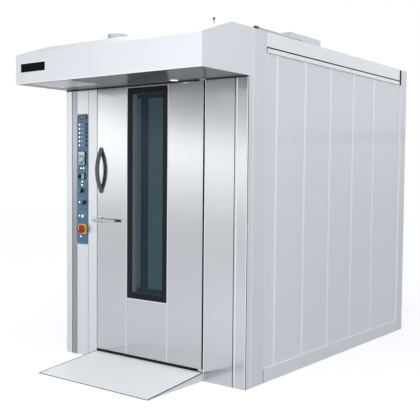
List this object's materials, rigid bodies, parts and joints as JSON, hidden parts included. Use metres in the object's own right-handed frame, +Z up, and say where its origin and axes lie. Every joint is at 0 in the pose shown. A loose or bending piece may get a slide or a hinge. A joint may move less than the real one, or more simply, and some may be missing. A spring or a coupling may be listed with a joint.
{
  "type": "rotating rack oven",
  "caption": "Floor-standing bakery oven with an insulated cabinet, steam hood, one swinging windowed door, entry ramp, driven turntable for a rack, and a heating unit behind the chamber.",
  "frame": {"origin": "on the floor, at the middle of the plan box that holds the cabinet and the ramp", "axes": "+X to the right seen from the door, +Y from the door to the rear, +Z up"},
  "size_m": [1.74, 3.16, 2.472],
  "materials": {
    "base_paint": "satin",
    "side_sheet": "satin",
    "shell_sheet": "satin",
    "hood_sheet": "satin",
    "hood_under": "satin",
    "front_steel": "satin",
    "door_steel": "brushed",
    "inner_steel": "satin",
    "hardware_steel": "satin",
    "ramp_steel": "satin",
    "zinc_sheet": "satin",
    "conduit_metal": "satin",
    "mineral_wool": "matte",
    "heat_steel": "matte",
    "cast_steel": "matte",
    "chain_steel": "satin",
    "burner_red": "gloss",
    "motor_paint": "satin",
    "window_black": "gloss",
    "window_glass": "gloss",
    "gasket_rubber": "matte",
    "handle_grey": "satin",
    "latch_chrome": "polished",
    "panel_blue": "satin",
    "black_plastic": "matte",
    "yellow_plastic": "gloss",
    "red_plastic": "gloss",
    "key_plastic": "satin",
    "lens_white": "gloss",
    "lamp_glass": "frosted"
  },
  "bodies": {
    "cabinet": {"base_frame": "base_paint", "plinth": "side_sheet", "chamber_floor": "inner_steel", "chamber_liner": "inner_steel", "hot_zone_liner": "inner_steel", "insulation": "mineral_wool", "outer_frame": "shell_sheet", "side_panels": "side_sheet", "roof_panel": "shell_sheet", "rear_panels": "side_sheet", "front_columns": "front_steel", "door_frame": "inner_steel", "hinge_brackets": "hardware_steel", "entry_ramp": "ramp_steel", "hood_shell": "hood_sheet", "hood_underside": "hood_under", "lamps": "lamp_glass", "exhaust_collar": "zinc_sheet", "control_panel": "panel_blue", "control_displays": "black_plastic", "indicator_lamps": "lens_white", "main_switch_box": "yellow_plastic", "electrical_box": "zinc_sheet", "flue_box": "zinc_sheet", "roof_conduit": "conduit_metal", "heat_exchanger": "heat_steel", "burner": "burner_red", "fan_motor": "motor_paint", "steam_generator": "cast_steel", "gearmotor": "motor_paint", "drive_chain": "chain_steel", "turntable_bearing": "cast_steel", "latch_strike": "hardware_steel"},
    "door": {"door_sheets": "door_steel", "door_core": "mineral_wool", "door_inner_tray": "inner_steel", "window_frame": "window_black", "window_glass": "window_glass", "door_gasket": "gasket_rubber", "door_sweep": "gasket_rubber", "pull_handle": "handle_grey", "latch_base": "hardware_steel", "hinge_pins": "hardware_steel"},
    "latch": {"latch_lever": "latch_chrome"},
    "table": {"turntable": "inner_steel", "driven_sprocket": "chain_steel"},
    "gear_output": {"drive_sprocket": "chain_steel"},
    "fan_wheel": {"circulation_fan": "heat_steel"},
    "fan_knob": {"fan_knob": "black_plastic"},
    "light_knob": {"light_knob": "black_plastic"},
    "steam_knob": {"steam_knob": "black_plastic"},
    "key_switch": {"key_switch": "latch_chrome"},
    "timer_dial": {"timer_dial": "black_plastic"},
    "main_switch_knob": {"main_switch_knob": "red_plastic"},
    "key_1": {"key_1": "key_plastic"},
    "key_2": {"key_2": "key_plastic"},
    "key_3": {"key_3": "key_plastic"},
    "key_4": {"key_4": "key_plastic"},
    "key_5": {"key_5": "key_plastic"},
    "key_6": {"key_6": "key_plastic"}
  },
  "joints": [
    {"name": "door_hinge", "type": "hinge", "parent": "cabinet", "child": "door", "pos_m": [0.49, -0.996, 0], "axis": [0, 0, 1], "range_deg": [0, 115]},
    {"name": "latch_lever_turn", "type": "hinge", "parent": "door", "child": "latch", "pos_m": [-0.5, -1.044, 1.077], "axis": [0, 0, -1], "range_deg": [0, 25]},
    {"name": "turntable_spin", "type": "hinge", "parent": "cabinet", "child": "table", "pos_m": [-0.0125, -0.23435, 0.058], "axis": [0, 0, 1], "continuous": true},
    {"name": "gear_output_spin", "type": "hinge", "parent": "cabinet", "child": "gear_output", "pos_m": [-0.0125, 1.411, 0.03], "axis": [0, 0, 1], "continuous": true},
    {"name": "fan_wheel_spin", "type": "hinge", "parent": "cabinet", "child": "fan_wheel", "pos_m": [-0.0125, 0.944, 1.83], "axis": [0, 1, 0], "continuous": true},
    {"name": "fan_knob_turn", "type": "hinge", "parent": "cabinet", "child": "fan_knob", "pos_m": [-0.7115, -1.013, 1.411], "axis": [0, 1, 0], "range_deg": [0, 180]},
    {"name": "light_knob_turn", "type": "hinge", "parent": "cabinet", "child": "light_knob", "pos_m": [-0.6875, -1.013, 1.301], "axis": [0, 1, 0], "range_deg": [0, 90]},
    {"name": "steam_knob_turn", "type": "hinge", "parent": "cabinet", "child": "steam_knob", "pos_m": [-0.6635, -1.013, 1.208], "axis": [0, 1, 0], "range_deg": [0, 270]},
    {"name": "key_switch_turn", "type": "hinge", "parent": "cabinet", "child": "key_switch", "pos_m": [-0.6635, -1.013, 1.102], "axis": [0, 1, 0], "range_deg": [0, 90]},
    {"name": "timer_dial_turn", "type": "hinge", "parent": "cabinet", "child": "timer_dial", "pos_m": [-0.6875, -1.025, 1.542], "axis": [0, 1, 0], "range_deg": [0, 300]},
    {"name": "main_switch_turn", "type": "hinge", "parent": "cabinet", "child": "main_switch_knob", "pos_m": [-0.6775, -1.026, 1], "axis": [0, 1, 0], "range_deg": [0, 90]},
    {"name": "key_1_press", "type": "slide", "parent": "cabinet", "child": "key_1", "axis": [0, 1, 0], "range_m": [0, 0.0015], "stiffness_N_per_m": 300},
    {"name": "key_2_press", "type": "slide", "parent": "cabinet", "child": "key_2", "axis": [0, 1, 0], "range_m": [0, 0.0015], "stiffness_N_per_m": 300},
    {"name": "key_3_press", "type": "slide", "parent": "cabinet", "child": "key_3", "axis": [0, 1, 0], "range_m": [0, 0.0015], "stiffness_N_per_m": 300},
    {"name": "key_4_press", "type": "slide", "parent": "cabinet", "child": "key_4", "axis": [0, 1, 0], "range_m": [0, 0.0015], "stiffness_N_per_m": 300},
    {"name": "key_5_press", "type": "slide", "parent": "cabinet", "child": "key_5", "axis": [0, 1, 0], "range_m": [0, 0.0015], "stiffness_N_per_m": 300},
    {"name": "key_6_press", "type": "slide", "parent": "cabinet", "child": "key_6", "axis": [0, 1, 0], "range_m": [0, 0.0015], "stiffness_N_per_m": 300}
  ],
  "couplings": [
    {"joint": "gear_output_spin", "follows": "turntable_spin", "ratio": 3}
  ]
}
